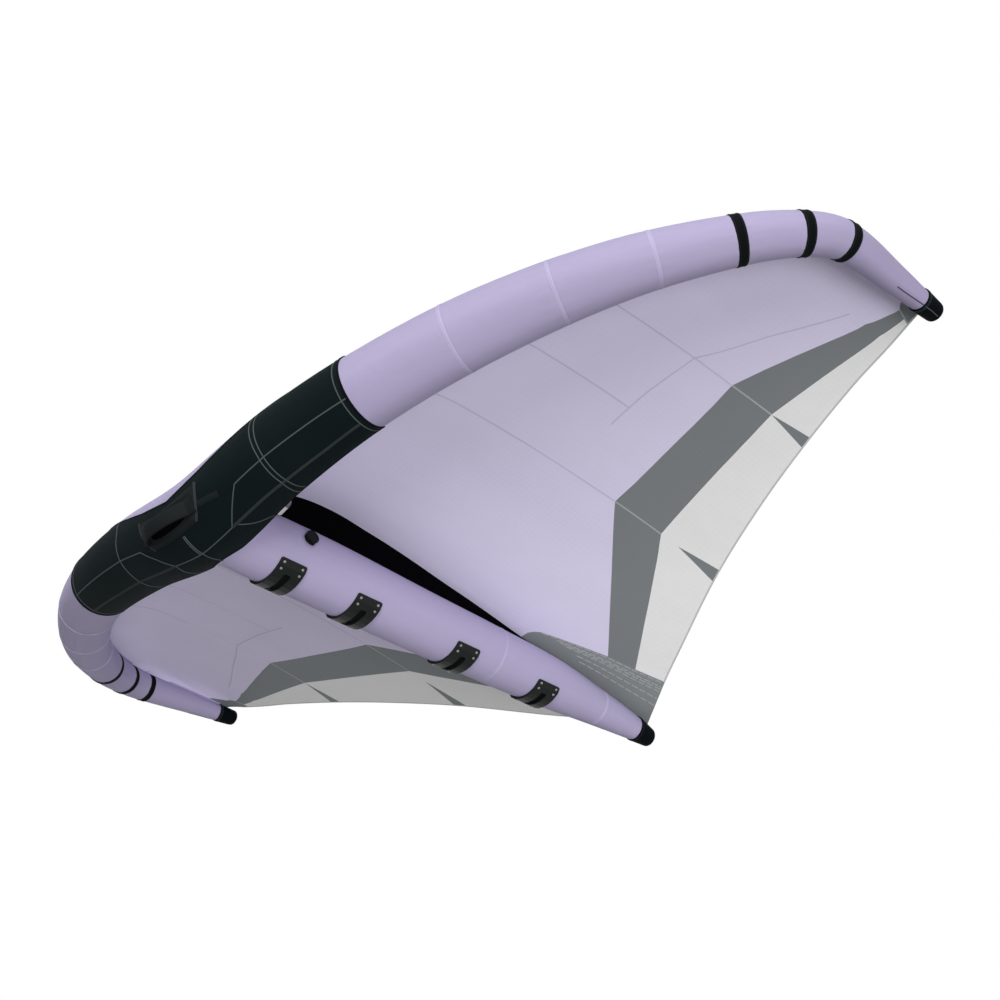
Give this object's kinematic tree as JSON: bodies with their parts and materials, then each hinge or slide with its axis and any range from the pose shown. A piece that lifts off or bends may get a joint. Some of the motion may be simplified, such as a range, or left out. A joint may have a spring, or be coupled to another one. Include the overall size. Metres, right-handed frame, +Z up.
{
  "type": "wingfoil wing",
  "caption": "Handheld inflatable wing for foiling: swept leading edge tube, central strut with slotted handle plates, padded front handle, inflation valve and cambered canopy.",
  "frame": {"origin": "centre of the flat seat on the front arm of the first handle plate", "axes": "+X along the span towards the valve side, +Y backwards along the strut, +Z up from the strut to the canopy"},
  "size_m": [3.3204, 1.8927, 0.5752],
  "materials": {
    "lilac_cloth": "smooth woven cloth",
    "dark_cloth": "smooth woven cloth",
    "pale_cloth": "smooth woven cloth",
    "grey_cloth": "matt woven cloth",
    "black_cloth": "matt coated cloth",
    "black_plastic": "moulded, satin",
    "grey_plastic": "moulded, satin",
    "black_rubber": "matt",
    "bladder": "thin flexible film"
  },
  "bodies": {
    "wing": {"canopy_band_inner_left": "dark_cloth", "canopy_band_inner_right": "dark_cloth", "canopy_band_middle_left": "dark_cloth", "canopy_band_middle_right": "dark_cloth", "canopy_band_outer_left": "dark_cloth", "canopy_band_outer_right": "dark_cloth", "canopy_main_left": "lilac_cloth", "canopy_main_right": "lilac_cloth", "canopy_trail_inner_left": "pale_cloth", "canopy_trail_inner_right": "pale_cloth", "canopy_trail_middle_left": "pale_cloth", "canopy_trail_middle_right": "pale_cloth", "canopy_trail_outer_left": "pale_cloth", "canopy_trail_outer_right": "pale_cloth", "canopy_wedge_inner_left": "dark_cloth", "canopy_wedge_inner_right": "dark_cloth", "canopy_wedge_middle_left": "dark_cloth", "canopy_wedge_middle_right": "dark_cloth", "edge_band_inner_left": "black_cloth", "edge_band_inner_right": "black_cloth", "edge_band_middle_left": "black_cloth", "edge_band_middle_right": "black_cloth", "edge_band_outer_left": "black_cloth", "edge_band_outer_right": "black_cloth", "edge_bladder": "bladder", "edge_casing_bend_left": "lilac_cloth", "edge_casing_bend_right": "lilac_cloth", "edge_casing_centre": "lilac_cloth", "edge_casing_curl_left": "lilac_cloth", "edge_casing_curl_right": "lilac_cloth", "edge_casing_inner_left": "lilac_cloth", "edge_casing_inner_right": "lilac_cloth", "edge_casing_shoulder_left": "lilac_cloth", "edge_casing_shoulder_right": "lilac_cloth", "edge_casing_tip_left": "lilac_cloth", "edge_casing_tip_right": "lilac_cloth", "handle_grip": "black_rubber", "handle_pad": "black_rubber", "handle_plate_1": "black_plastic", "handle_plate_2": "black_plastic", "handle_plate_3": "black_plastic", "handle_plate_4": "black_plastic", "nose_panel": "black_cloth", "strut_bladder": "bladder", "strut_casing": "lilac_cloth", "strut_strip_left": "grey_cloth", "strut_strip_right": "grey_cloth", "strut_web": "black_cloth", "tail_cap": "black_cloth", "tip_cap_left": "black_cloth", "tip_cap_right": "black_cloth", "tip_patch_left": "dark_cloth", "tip_patch_right": "dark_cloth", "transfer_hose": "bladder", "valve_base": "black_plastic", "valve_seal": "black_rubber"},
    "cap": {"valve_cap": "black_plastic"},
    "insert": {"valve_insert": "grey_plastic"},
    "disc": {"valve_disc": "black_rubber"}
  },
  "joints": [
    {"name": "cap_hinge", "type": "hinge", "parent": "wing", "child": "cap", "pos_m": [0.11145, 0.0545, 0.10364], "axis": [0, 1, 0], "range_deg": [0, 150]},
    {"name": "insert_turn", "type": "hinge", "parent": "wing", "child": "insert", "pos_m": [0.09402, 0.0545, 0.12363], "axis": [0.9808, 0, 0.1951], "range_deg": [0, 60]},
    {"name": "disc_lift", "type": "slide", "parent": "insert", "child": "disc", "axis": [-0.9808, 0, -0.1951], "range_m": [0, 0.003], "stiffness_N_per_m": 60}
  ]
}
